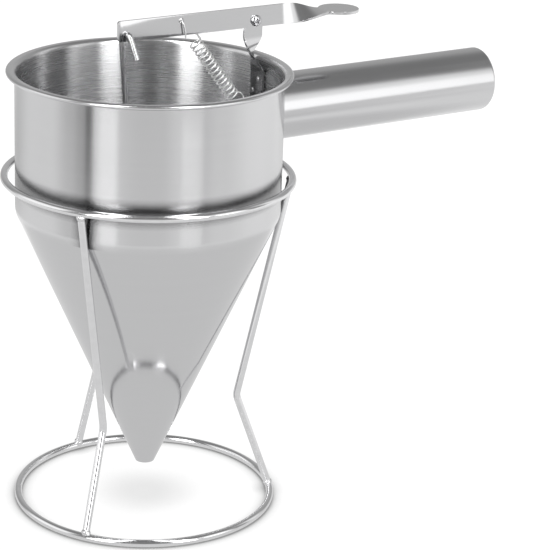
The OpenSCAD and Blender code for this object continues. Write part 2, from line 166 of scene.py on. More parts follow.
past_stand = add(tree, "MapRange", EASED, Value=away, i1=0.44, i2=0.60, i3=0.0, i4=1.0)
shade_painted_near_stand = cards(tree, away, [(0.0, 0.78), (0.29, 0.80), (0.40, 1.02), (1.0, 1.02)])
around = cards(tree, bearing(tree, place), degrees(TABLE_AROUND))
edge = add(tree, "MapRange", EASED, Value=away, i1=0.76, i2=0.86, i3=1.0, i4=1.12)
around = add(tree, "VectorMath", {"operation": "SCALE"}, i0=around, Scale=edge.outputs[0])
mirrored = add(tree, "MixRGB", Fac=past_stand.outputs[0], Color1=shade_painted_near_stand, Color2=around.outputs[0])

# Painted shadow on the table, on top of the real shadow its matt coat takes: a soft spot painted under the
# tip and a tight line where the base ring touches, darkening its glow by distance and by ambient occlusion.
spot = add(tree, "MapRange", EASED, Value=away, i1=20 * MM, i2=62 * MM, i3=0.82, i4=1.0)
core = add(tree, "MapRange", EASED, Value=away, i1=4 * MM, i2=34 * MM, i3=0.72, i4=TABLE_WHITE)
painted_shadow = core.outputs[0]
for distance, hidden_at, darkest in ((50 * MM, 0.74, spot.outputs[0]), (9 * MM, 0.42, 0.20)):
    open_sky = add(tree, "AmbientOcclusion", {"samples": 16}, Color=(1, 1, 1, 1), Distance=distance)
    dim = add(tree, "MapRange", Value=open_sky.outputs["AO"], i1=hidden_at, i2=1.0, i3=darkest, i4=1.0)
    painted_shadow = add(tree, "Math", {"operation": "MULTIPLY"}, i0=painted_shadow, i1=dim.outputs[0]).outputs[0]
mirror_ray = add(tree, "LightPath").outputs["Is Glossy Ray"]
own = add(tree, "MixRGB", Fac=mirror_ray, Color1=painted_shadow, Color2=mirrored.outputs[0])
shine = add(tree, "Emission", Color=own.outputs[0], Strength=1.0)
matt = add(tree, "BsdfDiffuse", Color=(BOARD_GREY, BOARD_GREY, BOARD_GREY, 1))
both = add(tree, "AddShader", i0=shine.outputs[0], i1=matt.outputs[0])
mixed = add(tree, "MixShader", i0=mirror_ray, i1=both.outputs[0], i2=shine.outputs[0])
tree.links.new(mixed.outputs[0], add(tree, "OutputMaterial").inputs["Surface"])
table_top.data.materials.append(white_board)

LAMP_SIDE = 0.8
LAMP_HEIGHT = 1.45
LAMP_GLOW = 1.6
lamp = bpy.data.lights.new("top_box", "AREA")
lamp.shape = "RECTANGLE"
lamp.size = LAMP_SIDE
lamp.size_y = LAMP_SIDE
lamp.energy = LAMP_GLOW * math.pi * LAMP_SIDE ** 2
top_box = bpy.data.objects.new("top_box", lamp)
top_box.location = (0, 0, LAMP_HEIGHT)
top_box.visible_glossy = False
scene.collection.objects.link(top_box)

CAMERA_AT = (-0.5696, -0.9563, 0.5185)
PAN, TILT, ROLL = math.radians(-34.31), math.radians(-19.28), math.radians(2.01)
camera_data = bpy.data.cameras.new("camera")
camera_data.sensor_width = 36
camera_data.lens = 143.4
camera_data.clip_end = 50
camera = bpy.data.objects.new("camera", camera_data)
camera.matrix_world = (
    Matrix.Translation(CAMERA_AT)
    @ Matrix.Rotation(PAN, 4, "Z")
    @ Matrix.Rotation(math.pi / 2 + TILT, 4, "X")
    @ Matrix.Rotation(ROLL, 4, "Z"))
scene.collection.objects.link(camera)
scene.camera = camera

# ---------------------------------------------------------------------------------------------
# The stand's two rings: 4 mm stainless wire, rolled round and butt-welded. Every steel finish of
# the object is made by the same small recipe, which is set out here.
# ---------------------------------------------------------------------------------------------
CLOUDS_PER_M = 28.0
NOISE_LOW, NOISE_HIGH = 0.3, 0.7
# Painted shade near other pieces: how shut in a point is where the colour is darkest and where it is
# untouched, how dark it gets, and the height over which it fades out.
SHUT_IN, OPEN, PAINTED_SHADE_DARK = 0.70, 0.95, 0.22
PAINTED_SHADE_FADE = 6 * MM


def paint(code):
    """The linear value of an sRGB hex colour."""
    parts = [int(code[i:i + 2], 16) / 255 for i in (1, 3, 5)]
    return tuple(c / 12.92 if c <= 0.04045 else ((c + 0.055) / 1.055) ** 2.4 for c in parts) + (1.0,)


def steel(name, colour, rough, marks, mark_depth, grain, spread=0.0, cloud=0.06, tint=0.06, painted_shade=None):
    """A steel finish. marks is the size in metres of a mark along X, Y and Z, mark_depth its depth
    in metres, grain how much the marks change the gloss, spread how far the gloss is drawn out across
    marks that run round the axis, cloud and tint how uneven the gloss and the colour are. The last
    argument, when given, is painted shade: how close another piece must come for shade to be painted
    into the colour, and up to what height."""
    mat = bpy.data.materials.new(name)
    mat.use_nodes = True
    t = mat.node_tree
    t.nodes.clear()
    where = add(t, "TexCoord").outputs["Object"]
    lines = add(t, "Mapping", Vector=where, Scale=tuple(1 / m for m in marks))
    fine = add(t, "TexNoise", Vector=lines.outputs[0], Scale=1.0, Detail=3.0, Roughness=0.6).outputs["Fac"]
    soft = add(t, "TexNoise", Vector=where, Scale=CLOUDS_PER_M, Detail=2.0, Roughness=0.5).outputs["Fac"]
    wear = add(t, "MapRange", Value=soft, i1=NOISE_LOW, i2=NOISE_HIGH, i3=rough - cloud, i4=rough + cloud)
    gloss = add(t, "MapRange", Value=fine, i1=NOISE_LOW, i2=NOISE_HIGH, i3=-grain, i4=grain)
    clamped = {"operation": "ADD", "use_clamp": True}
    rough_sum = add(t, "Math", clamped, i0=wear.outputs[0], i1=gloss.outputs[0])
    shade = add(t, "MapRange", Value=fine, i1=NOISE_LOW, i2=NOISE_HIGH, i3=1 - tint, i4=1 + tint)
    # Painted shade: ambient occlusion darkens the colour where another piece is close, below the given
    # height.
    if painted_shade:
        distance, top = painted_shade
        open_sky = add(t, "AmbientOcclusion", {"samples": 8}, Color=(1, 1, 1, 1), Distance=distance)
        dim = add(t, "MapRange", Value=open_sky.outputs["AO"], i1=SHUT_IN, i2=OPEN, i3=PAINTED_SHADE_DARK, i4=1.0)
        height = add(t, "SeparateXYZ", Vector=where).outputs["Z"]
        above = add(t, "MapRange", Value=height, i1=top - PAINTED_SHADE_FADE, i2=top, i3=0.0, i4=1.0)
        dim = add(t, "Math", {"operation": "MAXIMUM"}, i0=dim.outputs[0], i1=above.outputs[0])
        shade = add(t, "Math", {"operation": "MULTIPLY"}, i0=shade.outputs[0], i1=dim.outputs[0])
    base = add(t, "VectorMath", {"operation": "SCALE"}, i0=paint(colour)[:3], Scale=shade.outputs[0])
    skin = add(t, "BsdfPrincipled", Base_Color=base.outputs[0], Metallic=1.0, Roughness=rough_sum.outputs[0],
               Anisotropic=spread, Anisotropic_Rotation=0.25 if spread else 0.0)
    if mark_depth:
        relief = add(t, "Bump", Strength=1.0, Distance=mark_depth, Height=fine)
        t.links.new(relief.outputs[0], skin.inputs["Normal"])
    if spread:
        turned = add(t, "Tangent", {"direction_type": "RADIAL", "axis": "Z"})
        t.links.new(turned.outputs[0], skin.inputs["Tangent"])
    t.links.new(skin.outputs[0], add(t, "OutputMaterial").inputs["Surface"])
    return mat


def finish_piece(name, bm, material, body, node, sharp=35):
    """Makes the object of a piece, ties it to its body and hides the CAD piece that it stands for. A piece
    that is stretched between two bodies has none here."""
    bmesh.ops.remove_doubles(bm, verts=bm.verts, dist=1e-7)
    bmesh.ops.recalc_face_normals(bm, faces=bm.faces)
    mesh = bpy.data.meshes.new(name)
    bm.to_mesh(mesh)
    bm.free()
    obj = bpy.data.objects.new(name, mesh)
    scene.collection.objects.link(obj)
    mesh.shade_smooth()
    mesh.set_sharp_from_angle(angle=math.radians(sharp))
    mesh.materials.append(material)
    if body:
        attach(obj, body)
    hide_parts(node)
    return obj


def spin_full(bm, steps):
    """Spins everything drawn once round the Z axis."""
    bmesh.ops.spin(bm, geom=bm.verts[:] + bm.edges[:], cent=(0, 0, 0), axis=(0, 0, 1), dvec=(0, 0, 0),
                   angle=math.tau, steps=steps, use_merge=True)


# Electropolished wire mirrors the room almost cleanly. Its skin waves over about 4 mm, which only
# breaks the mirrored edges up a little.
bright_wire = steel("electropolished wire", "#e2e2e3", 0.13, (4 * MM, 4 * MM, 4 * MM), 4e-6, 0.03,
                    cloud=0.03, tint=0.03)
WIRE = 2.0 * MM
TOP_RING = (76.2 * MM, 183.4 * MM)
BASE_RING = (69.7 * MM, 2.0 * MM)
for name, (radius, height) in (("top_ring", TOP_RING), ("base_ring", BASE_RING)):
    bm = bmesh.new()
    section = Matrix.Translation((radius, 0, height)) @ Matrix.Rotation(math.pi / 2, 4, "X")
    bmesh.ops.create_circle(bm, segments=28, radius=WIRE, matrix=section)
    spin_full(bm, 256)
    finish_piece(name, bm, bright_wire, "stand", "stand_" + name)

# ---------------------------------------------------------------------------------------------
# The stand's three legs: lengths of the same wire, each bent once at the knee and butted against
# both rings. They lean in from the top ring, so the funnel's shoulder sits on them.
# ---------------------------------------------------------------------------------------------


def run_wire(bm, path, radius, sides):
    """Draws a round wire along a path, by extruding its end circle from point to point."""
    path = [Vector(p) for p in path]
    heads = [(path[min(i + 1, len(path) - 1)] - path[max(i - 1, 0)]).normalized() for i in range(len(path))]
    stand = heads[0].to_track_quat("Z", "Y").to_matrix().to_4x4()
    circle = bmesh.ops.create_circle(bm, cap_ends=True, segments=sides, radius=radius,
                                     matrix=Matrix.Translation(path[0]) @ stand)
    edges = list(dict.fromkeys(e for v in circle["verts"] for e in v.link_edges))
    for i in range(1, len(path)):
        made = bmesh.ops.extrude_edge_only(bm, edges=edges)["geom"]
        verts = [g for g in made if isinstance(g, bmesh.types.BMVert)]
        edges = [g for g in made if isinstance(g, bmesh.types.BMEdge)]
        swing = heads[i - 1].rotation_difference(heads[i]).to_matrix().to_4x4()
        move = Matrix.Translation(path[i]) @ swing @ Matrix.Translation(-path[i - 1])
        bmesh.ops.transform(bm, matrix=move, verts=verts)
    bmesh.ops.edgeloop_fill(bm, edges=edges)


def bend(centre, arm, axis, angle, steps):
    """Points on an arc: arm is turned about axis, round centre, by angle in degrees."""
    axis = Vector(axis)
    return [Vector(centre) + Matrix.Rotation(math.radians(angle * i / steps), 3, axis) @ Vector(arm)
            for i in range(steps + 1)]


CONE = math.radians(24.167)
SHOULDER_R = 12 * MM
SHOULDER = (58.5 * MM, 165 * MM + SHOULDER_R * math.tan(CONE / 2))
LEG_GAP = 0.1 * MM
KNEE_Z = 57 * MM
KNEE_R = 9 * MM
LEG_TURNS = [Matrix.Rotation(math.radians(turn), 3, "Z") for turn in (-27, 93, 213)]
top_joint = Vector((TOP_RING[0], 0, TOP_RING[1]))
base_joint = Vector((BASE_RING[0], 0, BASE_RING[1]))
across, above = TOP_RING[0] - SHOULDER[0], TOP_RING[1] - SHOULDER[1]
lean = math.atan2(across, above) - math.asin((SHOULDER_R + WIRE + LEG_GAP) / math.hypot(across, above))
knee = Vector((TOP_RING[0] - (TOP_RING[1] - KNEE_Z) * math.tan(lean), 0, KNEE_Z))
foot_lean = math.atan2(BASE_RING[0] - knee.x, KNEE_Z - BASE_RING[1])
upper = Vector((math.sin(lean), 0, math.cos(lean)))
lower = Vector((math.sin(foot_lean), 0, -math.cos(foot_lean)))
inside = Vector((math.cos(lean), 0, -math.sin(lean)))
tangent = KNEE_R * math.tan((lean + foot_lean) / 2)
curve = bend(knee + upper * tangent + inside * KNEE_R, -inside * KNEE_R, (0, -1, 0),
             math.degrees(lean + foot_lean), 14)
start, end = top_joint - upper * WIRE, base_joint - lower * WIRE
path = [start.lerp(curve[0], k / 6) for k in range(6)] + curve
path += [curve[-1].lerp(end, k / 3) for k in range(1, 4)]
for number, turned in enumerate(LEG_TURNS, 1):
    bm = bmesh.new()
    run_wire(bm, path, WIRE, 28)
    bmesh.ops.rotate(bm, verts=bm.verts, cent=(0, 0, 0), matrix=turned)
    finish_piece("leg_%d" % number, bm, bright_wire, "stand", "stand_leg_%d" % number)

# ---------------------------------------------------------------------------------------------
# The stand's welds: a small bead at each end of each leg, run by hand without filler rod and
# brushed clean.
# ---------------------------------------------------------------------------------------------
# A brushed weld is duller than the wire, and lumpy. The brush's marks are about 0.1 mm across, too
# fine to show, so they are drawn at 0.6 mm.
cleaned_weld = steel("cleaned weld bead", "#d8d8d9", 0.26, (0.6 * MM, 0.6 * MM, 0.6 * MM), 1.2e-5, 0.06)
BLOB = (2.5 * MM, 2.5 * MM, 2.3 * MM)
BLOB_IN = 2.4 * MM
SWELLS, SWELL = 2.2, 0.09
RIPPLES, RIPPLE = 9, 0.02


def weld_blob(bm, place, along, seed):
    """One bead: a ball drawn out along the wire, with a lopsided swell and small ripples."""
    tilt = Vector(along).to_track_quat("Z", "Y").to_matrix().to_4x4()
    blob = bmesh.ops.create_icosphere(bm, subdivisions=4, radius=1.0)["verts"]
    for v in blob:
        swell = noise.noise(v.co * SWELLS + Vector((seed, 0, 0))) * SWELL
        ripple = math.sin(v.co.z * RIPPLES + seed) * RIPPLE
        v.co *= 1 + swell + ripple
    bmesh.ops.transform(bm, matrix=Matrix.Translation(place) @ tilt @ Matrix.Diagonal((*BLOB, 1)), verts=blob)


for name, node, joint, way, seed in (("top_weld_beads", "leg_top_welds", top_joint, -upper, 1),
                                     ("base_weld_beads", "leg_base_welds", base_joint, -lower, 0)):
    bm = bmesh.new()
    for number, turned in enumerate(LEG_TURNS):
        weld_blob(bm, turned @ (joint + way * BLOB_IN), turned @ way, number * 3.7 + seed)
    finish_piece(name, bm, cleaned_weld, "stand", node, sharp=80)

# ---------------------------------------------------------------------------------------------
# The funnel: one spun sheet of 1 mm stainless steel, cone, soft shoulder and straight wall. Its
# edge rolls outwards over a lip into a bead that is pressed a little flat.
# ---------------------------------------------------------------------------------------------
SHEET = 1.0 * MM
WALL_R = 70.5 * MM
RIM_Z = 241 * MM
RIM_DIP = 0.15 * MM
BEAD_R = 1.75 * MM
BEAD = (73.25 * MM, 239.25 * MM)
BEAD_FLAT = 0.76
OUTLET = (5.2 * MM, 19.5 * MM)
FLARE_R = 0.5 * MM
FLARE = (WALL_R + FLARE_R, RIM_Z - FLARE_R - SHEET - RIM_DIP)
LIP_R = 2.8 * MM
LIP = (WALL_R - SHEET + LIP_R, RIM_Z - LIP_R - RIM_DIP)
LIP_TURN = 85
HAIR = 0.01 * MM


def trace(bm, start, moves):
    """Draws an outline in the XZ plane. A move is a point to go straight to, or a centre to go round:
    (x, z) or (x, z, degrees, steps), where positive degrees turn left when seen from -Y."""
    v = bm.verts.new((start[0], 0, start[1]))
    for move in moves:
        if len(move) == 2:
            v = bmesh.ops.extrude_vert_indiv(bm, verts=[v])["verts"][0]
            v.co = (move[0], 0, move[1])
        else:
            turned = bmesh.ops.spin(bm, geom=[v], cent=(move[0], 0, move[1]), axis=(0, -1, 0), dvec=(0, 0, 0),
                                    angle=math.radians(move[2]), steps=move[3], use_merge=False)
            v = [g for g in turned["geom_last"] if isinstance(g, bmesh.types.BMVert)][0]


def lathe(bm, steps):
    """Turns the drawn outline into a closed body round the Z axis."""
    bmesh.ops.remove_doubles(bm, verts=bm.verts, dist=1e-7)
    spin_full(bm, steps)
    bmesh.ops.remove_doubles(bm, verts=bm.verts, dist=1e-7)


def on_arc(centre, radius, angle):
    """The point of a circle in the XZ plane at an angle in degrees, left of +X."""
    angle = math.radians(angle)
    return (centre[0] + radius * math.cos(angle), centre[1] + radius * math.sin(angle))


# The lathe polishes the wall in rings, so its gloss is drawn out into upright bands. The real rings
# are about 0.05 mm apart, too fine to show, so they are drawn at 1.5 mm. The cone is polished further.
RINGS = (150 * MM, 150 * MM, 1.5 * MM)
# The outer wall has painted shade: its colour darkens where another piece is within 8 mm, up to 204 mm high,
# which makes a dark line along the top ring.
polished_sheet = steel("spun and polished sheet", "#d2d2d3", 0.17, RINGS, 0.0, 0.004, spread=1.0,
                       cloud=0.01, tint=0.006, painted_shade=(8 * MM, 204 * MM))
polished_cone = steel("polished cone", "#d0d0d1", 0.08, RINGS, 0.0, 0.003, spread=0.6,
                      cloud=0.006, tint=0.006)
# The rim is polished by hand after rolling: an even, soft shine with rings drawn at 0.6 mm.
rolled_rim = steel("rolled and polished rim", "#d6d6d7", 0.20, (4 * MM, 4 * MM, 0.6 * MM), 0.0, 0.01,
                   cloud=0.03, tint=0.01)
# The inside is only brushed: fine lines round it, 0.1 mm apart and drawn at 0.6 mm, and duller bands.
brushed_sheet = steel("spun and brushed sheet", "#d6d6d7", 0.27, (160 * MM, 160 * MM, 0.6 * MM), 1e-7, 0.02,
                      spread=1.0, cloud=0.01, tint=0.035)
cone_top = on_arc(SHOULDER, SHOULDER_R, -math.degrees(CONE))
outlet_in = (OUTLET[0] - SHEET / math.cos(CONE), OUTLET[1])
bm = bmesh.new()
trace(bm, OUTLET, [
    cone_top,
    (*SHOULDER, math.degrees(CONE), 12),
    (WALL_R, FLARE[1]),
    (*FLARE, -75, 6),
    on_arc(BEAD, BEAD_R, 150),
    (*BEAD, 305, 36),
    on_arc(LIP, LIP_R, 180 - LIP_TURN),
    (*LIP, LIP_TURN, 14),
    (WALL_R - SHEET, SHOULDER[1]),
    (*SHOULDER, -math.degrees(CONE), 12),
    outlet_in,
    OUTLET])
lathe(bm, 256)
for v in bm.verts:
    if v.co.z > RIM_Z - 2 * BEAD_R - HAIR and math.hypot(v.co.x, v.co.y) > FLARE[0] - HAIR:
        v.co.z = RIM_Z - (RIM_Z - v.co.z) * BEAD_FLAT
funnel = finish_piece("funnel", bm, polished_sheet, "funnel", "funnel_bowl")
INSIDE, RIM, OUTER_CONE = 1, 2, 3
for finish in (brushed_sheet, rolled_rim, polished_cone):
    funnel.data.materials.append(finish)
for face in funnel.data.polygons:
    x, y, z = face.center
    if z > FLARE[1]:
        face.material_index = RIM
    elif face.normal.x * x + face.normal.y * y < 0:
        face.material_index = INSIDE
    elif z < cone_top[1]:
        face.material_index = OUTER_CONE

# ---------------------------------------------------------------------------------------------
# The handle: a 36 mm tube of 1.2 mm stainless steel, its root cut to the curve of the wall, and
# polished along its length on a belt.
# ---------------------------------------------------------------------------------------------
HANDLE_R = 18 * MM
BORE_R = HANDLE_R - 1.2 * MM
HANDLE_Z = 211.5 * MM
HANDLE_END = 218.5 * MM
CAP_T = 1.5 * MM
TUBE_END = HANDLE_END - CAP_T
NEAR_WALL = 80 * MM
TUBE_SIDES = 160
# A belt-polished tube mirrors the room in long bands with faint streaks. Its lines are about
# 0.05 mm apart, too fine to show, so they are drawn at 0.9 mm.
polished_tube = steel("polished tube", "#cacacb", 0.18, (50 * MM, 0.9 * MM, 0.9 * MM), 5e-7, 0.012,
                      cloud=0.015, tint=0.012)


def put_ring(verts, x, radius):
    """Puts a ring of the tube at x with that radius, or against the funnel's wall where x is None."""
    for v in verts:
        side = Vector((0, v.co.y, v.co.z - HANDLE_Z)).normalized() * radius
        v.co = side + Vector((math.sqrt(WALL_R ** 2 - side.y ** 2) if x is None else x, 0, HANDLE_Z))


bm = bmesh.new()
lie = Matrix.Rotation(math.pi / 2, 4, "Y")
ring = bmesh.ops.create_circle(bm, segments=TUBE_SIDES, radius=HANDLE_R,
                               matrix=Matrix.Translation((WALL_R, 0, HANDLE_Z)) @ lie)
edges = list(dict.fromkeys(e for v in ring["verts"] for e in v.link_edges))
put_ring(ring["verts"], None, HANDLE_R)
outward = [(x, HANDLE_R) for x in (NEAR_WALL, 120 * MM, 160 * MM, 200 * MM, TUBE_END)]
back = [(TUBE_END, BORE_R), (NEAR_WALL, BORE_R), (None, BORE_R), (None, HANDLE_R)]
for x, radius in outward + back:
    made = bmesh.ops.extrude_edge_only(bm, edges=edges)["geom"]
    edges = [g for g in made if isinstance(g, bmesh.types.BMEdge)]
    put_ring({v for e in edges for v in e.verts}, x, radius)
finish_piece("handle", bm, polished_tube, "funnel", "handle_tube")

# ---------------------------------------------------------------------------------------------
# The handle's end: a disc of the same steel welded into the tube and polished flush, with a
# slightly rounded edge.
# ---------------------------------------------------------------------------------------------
EDGE_R = 0.6 * MM
bm = bmesh.new()
trace(bm, (0, 0), [(HANDLE_R, 0), (HANDLE_R, CAP_T - EDGE_R), (HANDLE_R - EDGE_R, CAP_T - EDGE_R, 90, 6),
                   (0, CAP_T)])
lathe(bm, TUBE_SIDES)
bmesh.ops.transform(bm, matrix=Matrix.Translation((TUBE_END, 0, HANDLE_Z)) @ lie, verts=bm.verts)
finish_piece("handle_end_disc", bm, polished_tube, "funnel", "handle_end_cap")

# ---------------------------------------------------------------------------------------------
# The handle's weld: a narrow fillet run round the tube where it meets the wall, brushed after
# welding. It keeps the small even ripples of the weld pool.
# ---------------------------------------------------------------------------------------------
FILLET_R = 1.08 * MM
FILLET_OUT = 0.25 * MM
POOL_RIPPLES, POOL_RIPPLE = 72, 0.12 * MM
ROUGHNESS_PER_M, ROUGHNESS = 300, 0.1 * MM
bm = bmesh.new()
section = Matrix.Translation((HANDLE_R + FILLET_OUT, 0, 0)) @ Matrix.Rotation(math.pi / 2, 4, "X")
bmesh.ops.create_circle(bm, segments=7, radius=FILLET_R, matrix=section)
spin_full(bm, 360)
bmesh.ops.transform(bm, matrix=Matrix.Translation((0, 0, HANDLE_Z)) @ lie, verts=bm.verts)
for v in bm.verts:
    out = Vector((0, v.co.y, v.co.z - HANDLE_Z))
    ripple = math.sin(math.atan2(out.y, out.z) * POOL_RIPPLES) * (v.co.x > 0)
    lift = v.co.x + POOL_RIPPLE * ripple + ROUGHNESS * noise.noise(v.co * ROUGHNESS_PER_M)
    v.co.x = math.sqrt(WALL_R ** 2 - (out.normalized() * HANDLE_R).y ** 2) + FILLET_OUT + lift
finish_piece("handle_root_weld", bm, cleaned_weld, "funnel", "handle_weld", sharp=80)

# ---------------------------------------------------------------------------------------------
# The bracket: a 1.5 mm strip that stands against the wall, turns a quarter on its way up to the
# pivot, and is folded in at its foot as a tab for the spring. It is sheared, twisted and satin.
# ---------------------------------------------------------------------------------------------
# Satin strip is evenly grey with a soft mirror image. The belt's lines along it are about 0.05 mm
# apart, too fine to show, so they are drawn at 0.45 mm.
satin_strip = steel("satin cut strip", "#cfcfd0", 0.13, (30 * MM, 2 * MM, 0.45 * MM), 3e-7, 0.012,
                    cloud=0.01, tint=0.01)
PIVOT = Vector((64.4 * MM, 0, 260.6 * MM))
PIVOT_HOLE_R = 1.55 * MM
STRIP_T = 1.5 * MM
BRACKET_W = 11.5 * MM
BRACKET_Y = 2.05 * MM
BRACKET_X = 68.29 * MM
TAB_Z = 215 * MM
TAB_TIP = 56.04 * MM
TAB_MID = TAB_Z - STRIP_T / 2
TAB_HOLE = Vector((60.29 * MM, BRACKET_Y, TAB_MID))
TAB_HOLE_R = 2.0 * MM
FOLD_R = 1.2 * MM
CORNER = 2.5 * MM
TWIST_LOW = 231 * MM
TWIST_HIGH = PIVOT.z - 9 * MM
TWIST_STEPS = 32
TWIST_EASE = 1.8
LEAN_LEAD = 1.7


def smooth(t):
    """Eases from 0 to 1, level at both ends."""
    t = min(1, max(0, t))
    return t * t * (3 - 2 * t)


def sweep(angle, steps):
    """Angles in radians from 0 to that many degrees, in even steps."""
    return [math.radians(angle * k / steps) for k in range(steps + 1)]


def rounded_end(tip, corner, width):
    """Places along X, and widths there, of a strip's end with rounded corners."""
    return [(tip + corner * (1 - math.cos(a)), width - 2 * corner * (1 - math.sin(a))) for a in sweep(90, 6)]


def draw_strip(bm, stations):
    """Draws a flat strip: each station is its middle, the way its width runs, the way its thickness
    runs, and its width. The end face is extruded from station to station."""
    def pose(middle, wide, thick, width):
        wide, thick = Vector(wide).normalized(), Vector(thick).normalized()
        turn = Matrix((wide, thick, wide.cross(thick))).transposed().to_4x4()
        return Matrix.Translation(middle) @ turn @ Matrix.Diagonal((width, STRIP_T, 1, 1))

    now = pose(*stations[0])
    grid = bmesh.ops.create_grid(bm, x_segments=1, y_segments=1, size=0.5, matrix=now)
    end = grid["verts"][0].link_faces[0]
    bmesh.ops.duplicate(bm, geom=[end])
    for station in stations[1:]:
        after = pose(*station)
        made = bmesh.ops.extrude_face_region(bm, geom=[end])["geom"]
        bmesh.ops.delete(bm, geom=[end], context="FACES")
        end = [g for g in made if isinstance(g, bmesh.types.BMFace)][0]
        bmesh.ops.transform(bm, matrix=after @ now.inverted(), verts=end.verts[:])
        now = after


def carve(obj, bm, sharp, ease=0.0, crossed=False):
    """Cuts the shapes in bm out of a piece, and eases its edges by that much. crossed says that the
    shapes run through each other."""
    mesh = bpy.data.meshes.new("cutter")
    bm.to_mesh(mesh)
    bm.free()
    cutter = bpy.data.objects.new("cutter", mesh)
    scene.collection.objects.link(cutter)
    cut = obj.modifiers.new("cut", "BOOLEAN")
    cut.operation = "DIFFERENCE"
    cut.object = cutter
    cut.solver = "EXACT"
    cut.use_self = crossed
    if ease:
        edge = obj.modifiers.new("eased edges", "BEVEL")
        edge.width = ease
        edge.segments = 2
        edge.limit_method = "ANGLE"
        edge.angle_limit = math.radians(40)
    done = bpy.data.meshes.new_from_object(obj.evaluated_get(bpy.context.evaluated_depsgraph_get()))
    obj.modifiers.clear()
    obj.data = done
    bpy.data.objects.remove(cutter)
    done.shade_smooth()
    done.set_sharp_from_angle(angle=math.radians(sharp))


TUMBLED = 0.16 * MM
DRILL = 4 * MM


def bore(obj, holes):
    """Drills a strip and eases its edges, as tumbling does. Each hole is a middle, an axis, a radius."""
    bm = bmesh.new()
    for middle, axis, radius in holes:
        tilt = Vector(axis).to_track_quat("Z", "Y").to_matrix().to_4x4()
        bmesh.ops.create_cone(bm, cap_ends=True, segments=40, radius1=radius, radius2=radius, depth=DRILL,
                              matrix=Matrix.Translation(middle) @ tilt)
    carve(obj, bm, 20, ease=TUMBLED)


stations = [((x, BRACKET_Y, TAB_MID), (0, 1, 0), (0, 0, 1), width)
            for x, width in rounded_end(TAB_TIP, CORNER, BRACKET_W)]
fold = Vector((BRACKET_X - STRIP_T / 2 - FOLD_R, BRACKET_Y, TAB_Z + FOLD_R))
for a in sweep(90, 8):
    out = Vector((math.sin(a), 0, -math.cos(a)))
    stations.append((fold + out * (FOLD_R + STRIP_T / 2), (0, 1, 0), -out, BRACKET_W))
for k in range(TWIST_STEPS + 1):
    t = k / TWIST_STEPS
    a = math.radians(90) * t * t * (TWIST_EASE - (TWIST_EASE - 1) * t)
    middle = (BRACKET_X + (PIVOT.x - BRACKET_X) * smooth(LEAN_LEAD * t), BRACKET_Y,
              TWIST_LOW + (TWIST_HIGH - TWIST_LOW) * t)
    stations.append((middle, (math.sin(a), math.cos(a), 0), (-math.cos(a), math.sin(a), 0), BRACKET_W))
for a in sweep(86, 14):
    stations.append(((PIVOT.x, BRACKET_Y, PIVOT.z + BRACKET_W / 2 * math.sin(a)), (1, 0, 0), (0, 1, 0),
                     BRACKET_W * math.cos(a)))
bm = bmesh.new()
draw_strip(bm, stations)
bracket = finish_piece("bracket", bm, satin_strip, "funnel", "lever_bracket")
bore(bracket, [(TAB_HOLE, (0, 0, 1), TAB_HOLE_R),
               ((PIVOT.x, BRACKET_Y, PIVOT.z), (0, 1, 0), PIVOT_HOLE_R)])

# ---------------------------------------------------------------------------------------------
# The bracket's spot welds: two low buttons where the electrode pressed the strip to the wall, and
# the thin nuggets between strip and wall, which are the CAD's own.
# ---------------------------------------------------------------------------------------------


def cover(node_name, material):
    """Gives a piece that is kept as the CAD drew it its finish."""
    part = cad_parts[node_name]
    part.data.materials.clear()
    part.data.materials.append(material)


cover("bracket_spot_welds", cleaned_weld)

# ---------------------------------------------------------------------------------------------
# The lever: a strip like the bracket's, cut to 11 mm, twisted a quarter beyond the pivot and ending
# in a round thumb plate.
# ---------------------------------------------------------------------------------------------
LEVER_Z = 262.6 * MM
LEVER_H = 11 * MM
THUMB = Vector((118.8 * MM, 0, 261.5 * MM))
THUMB_R = 11.1 * MM
ROD_HOLE = Vector((-14.7 * MM, 0, 261.0 * MM))
ROD_HOLE_R = 1.6 * MM
SPRING_HOLE = Vector((17.8 * MM, 0, 265.0 * MM))
SPRING_HOLE_R = 1.5 * MM
LEVER_TIP = ROD_HOLE.x - 5.2 * MM
TIP_R = 1.6 * MM
TWIST_START = PIVOT.x + 12 * MM
TWIST_END = THUMB.x - THUMB_R + 3.6 * MM
FAIR = 7.0
LEVER_STEPS = 80
stations = [((x, 0, LEVER_Z), (0, 0, 1), (0, 1, 0), width)
            for x, width in rounded_end(LEVER_TIP, TIP_R, LEVER_H)]
for k in range(LEVER_STEPS + 1):
    x = TWIST_START + (THUMB.x - TWIST_START) * k / LEVER_STEPS
    t = smooth((x - TWIST_START) / (TWIST_END - TWIST_START))
    a = math.radians(90) * t
    from_disc = min(1, (THUMB.x - x) / THUMB_R)
    disc_w = 2 * THUMB_R * math.sqrt(1 - from_disc * from_disc)
    width = (LEVER_H ** FAIR + disc_w ** FAIR) ** (1 / FAIR)
    stations.append(((x, 0, LEVER_Z + (THUMB.z - LEVER_Z) * t), (0, math.sin(a), math.cos(a)),
                     (0, math.cos(a), -math.sin(a)), width))
disc_w = stations[-1][3]
for a in sweep(88, 29)[1:]:
    stations.append(((THUMB.x + THUMB_R * math.sin(a), 0, THUMB.z), (0, 1, 0), (0, 0, -1),
                     disc_w * math.cos(a)))
bm = bmesh.new()
draw_strip(bm, stations)
lever = finish_piece("lever", bm, satin_strip, "lever", "thumb_lever")
bore(lever, [(ROD_HOLE, (0, 1, 0), ROD_HOLE_R), (SPRING_HOLE, (0, 1, 0), SPRING_HOLE_R),
             (PIVOT, (0, 1, 0), PIVOT_HOLE_R)])

# ---------------------------------------------------------------------------------------------
# The pivot: an M3 pan-head screw of bright steel through lever, washer and bracket, with its nut
# on the far side. The head is cold-formed, with a cross recess.
# ---------------------------------------------------------------------------------------------
# Formed steel is bright and a little dimpled. The dimples are about 0.3 mm and drawn at 1.2 mm.
bright_screw = steel("bright formed steel", "#cfcfd1", 0.18, (1.2 * MM, 1.2 * MM, 1.2 * MM), 6e-6, 0.05,
                     cloud=0.05, tint=0.05)
